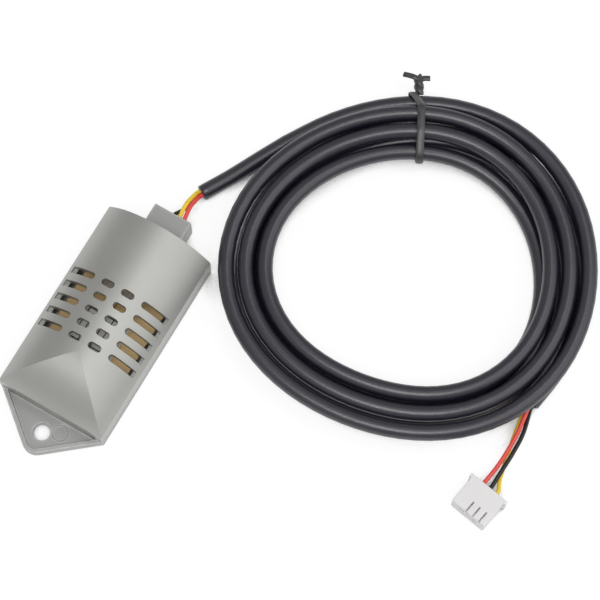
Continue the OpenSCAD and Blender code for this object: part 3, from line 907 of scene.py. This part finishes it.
# Half widths of the supply tracks and of the signal tracks
SUPPLY_HALF_W = 0.25
SIGNAL_HALF_W = 0.2
# Where the tracks run to: the chip's feet, its two sensing feet, the element's edge, past the small parts
CHIP_FEET_Y = 2.5
SENSE_FOOT_X = 0.64
ELEMENT_EDGE_Y = 4.0
PAST_CAPACITOR = 3.2
BEFORE_RESISTOR = 2.0
PAST_RESISTOR = 2.6


def track_boxes():
    """Lacquered tracks from the pads to the chip, and from the chip to the element."""
    low = BOARD_TOP - PRINT_SUNK
    high = BOARD_TOP + TRACK_T
    boxes = []
    for x in CORE_X:
        boxes.append(((x - SUPPLY_HALF_W, CHIP_PLACE[1] + CHIP_FEET_Y, low),
                      (x + SUPPLY_HALF_W, PAD_Y, high)))
    for x in (CHIP_PLACE[0] - SENSE_FOOT_X, CHIP_PLACE[0] + SENSE_FOOT_X):
        boxes.append(((x - SIGNAL_HALF_W, ELEMENT_Y + ELEMENT_EDGE_Y, low),
                      (x + SIGNAL_HALF_W, CHIP_PLACE[1] - CHIP_FEET_Y, high)))
    for x, y in CAPACITOR_PLACES:
        boxes.append(((x - PAST_CAPACITOR, y - SUPPLY_HALF_W, low), (x, y + SUPPLY_HALF_W, high)))
    for x, y in RESISTOR_PLACES:
        boxes.append(((x - BEFORE_RESISTOR, y - SIGNAL_HALF_W, low),
                      (x + PAST_RESISTOR, y + SIGNAL_HALF_W, high)))
    return boxes


add_piece("board_tracks", boxes_mesh("board_tracks", track_boxes(), 0.01), COPPER)


# Thickness of the tin over a small part's ends
TIN_T = 0.03
CAPACITOR_SIZE = (2.0, 1.25, 1.0)
CAPACITOR_CAP = 0.4
RESISTOR_SIZE = (1.6, 0.8, 0.5)
RESISTOR_CAP = 0.3


def end_cap_boxes(places, size, cap):
    """Tinned ends of small parts that lie along X."""
    boxes = []
    for x, y in places:
        for side in (-1, 1):
            reach = sorted((x + side * (size[0] / 2 + TIN_T), x + side * (size[0] / 2 - cap)))
            boxes.append(((reach[0], y - size[1] / 2 - TIN_T, BOARD_TOP),
                          (reach[1], y + size[1] / 2 + TIN_T, BOARD_TOP + size[2] + TIN_T)))
    return boxes


caps = (end_cap_boxes(CAPACITOR_PLACES, CAPACITOR_SIZE, CAPACITOR_CAP)
        + end_cap_boxes(RESISTOR_PLACES, RESISTOR_SIZE, RESISTOR_CAP))
add_piece("tinned_ends", boxes_mesh("tinned_ends", caps, 0.05), TIN)


# Stage: white floor that keeps a soft shadow, pale surround and four lamps: a broad one from the right,
# a small one above, and a front fill with a low one under it
FLOOR_HALF = 4.0
FLOOR_DROP = 0.05
GAP_REACH = 7
SURROUND_LEVEL = 0.4
LAMP_TARGET = Vector((35, 35, 0)) * MM


def background_share(tree):
    """1 for what the camera sees directly, in a gloss or through glass."""
    path = tree.nodes.new("ShaderNodeLightPath")
    share = math_node(tree, "MAXIMUM", path.outputs["Is Camera Ray"], path.outputs["Is Glossy Ray"])
    return math_node(tree, "MAXIMUM", share, path.outputs["Is Transmission Ray"])


def open_share(tree):
    """Glow of the floor: full in the open, none in the narrow gaps between the loops, where ambient occlusion
    paints shade.
    """
    reach = tree.nodes.new("ShaderNodeAmbientOcclusion")
    reach.samples = 8
    reach.inputs["Distance"].default_value = GAP_REACH * MM
    level = tree.nodes.new("ShaderNodeMapRange")
    level.inputs["From Min"].default_value = 0.3
    level.inputs["From Max"].default_value = 0.5
    level.inputs["To Max"].default_value = 0.82
    tree.links.new(reach.outputs["AO"], level.inputs["Value"])
    return level.outputs["Result"]


def add_floor():
    mesh = bpy.data.meshes.new("floor")
    corners = [(x * FLOOR_HALF, y * FLOOR_HALF, 0) for x, y in ((-1, -1), (1, -1), (1, 1), (-1, 1))]
    mesh.from_pydata(corners, [], [(0, 1, 2, 3)])
    floor = bpy.data.objects.new("floor", mesh)
    bpy.context.scene.collection.objects.link(floor)
    floor.location.z = -FLOOR_DROP * MM
    white = bpy.data.materials.new("floor_white")
    white.use_nodes = True
    tree = white.node_tree
    tree.nodes.clear()
    plain = tree.nodes.new("ShaderNodeBsdfDiffuse")
    plain.inputs["Color"].default_value = (0.8, 0.8, 0.8, 1)
    shaded = tree.nodes.new("ShaderNodeBsdfDiffuse")
    shaded.inputs["Color"].default_value = (0.25, 0.25, 0.25, 1)
    glow = tree.nodes.new("ShaderNodeEmission")
    tree.links.new(open_share(tree), glow.inputs["Strength"])
    seen = tree.nodes.new("ShaderNodeAddShader")
    tree.links.new(shaded.outputs[0], seen.inputs[0])
    tree.links.new(glow.outputs[0], seen.inputs[1])
    mixed = tree.nodes.new("ShaderNodeMixShader")
    tree.links.new(background_share(tree), mixed.inputs[0])
    tree.links.new(plain.outputs[0], mixed.inputs[1])
    tree.links.new(seen.outputs[0], mixed.inputs[2])
    out = tree.nodes.new("ShaderNodeOutputMaterial")
    tree.links.new(mixed.outputs[0], out.inputs["Surface"])
    mesh.materials.append(white)


def add_surround():
    world = bpy.data.worlds.new("studio")
    bpy.context.scene.world = world
    world.use_nodes = True
    tree = world.node_tree
    ground = tree.nodes["Background"]
    ground.inputs["Color"].default_value = (1, 1, 1, 1)
    path = tree.nodes.new("ShaderNodeLightPath")
    level = tree.nodes.new("ShaderNodeMapRange")
    level.inputs["To Min"].default_value = SURROUND_LEVEL
    level.inputs["To Max"].default_value = 1.0
    tree.links.new(path.outputs["Is Camera Ray"], level.inputs["Value"])
    tree.links.new(level.outputs["Result"], ground.inputs["Strength"])


def add_lamp(name, way, distance, size, energy):
    lamp = bpy.data.lights.new(name, "AREA")
    lamp.shape = "RECTANGLE"
    lamp.size, lamp.size_y = size
    lamp.energy = energy
    holder = bpy.data.objects.new(name, lamp)
    bpy.context.scene.collection.objects.link(holder)
    way = Vector(way).normalized()
    holder.location = LAMP_TARGET + distance * way
    holder.rotation_euler = (-way).to_track_quat("-Z", "Y").to_euler()


add_floor()
add_surround()
add_lamp("soft_right", (0.7, 0.2, 0.68), 1.0, (1.0, 1.0), 2.6)
add_lamp("glint_above", (0.08, 0.31, 0.93), 1.0, (0.25, 0.25), 0.5)
add_lamp("fill_front", (0.12, -0.3, 0.95), 1.0, (0.45, 0.45), 2.9)
add_lamp("low_front", (-0.2, -0.8, 0.5), 1.0, (1.0, 0.6), 0.3)

bpy.context.scene.view_settings.view_transform = "Standard"
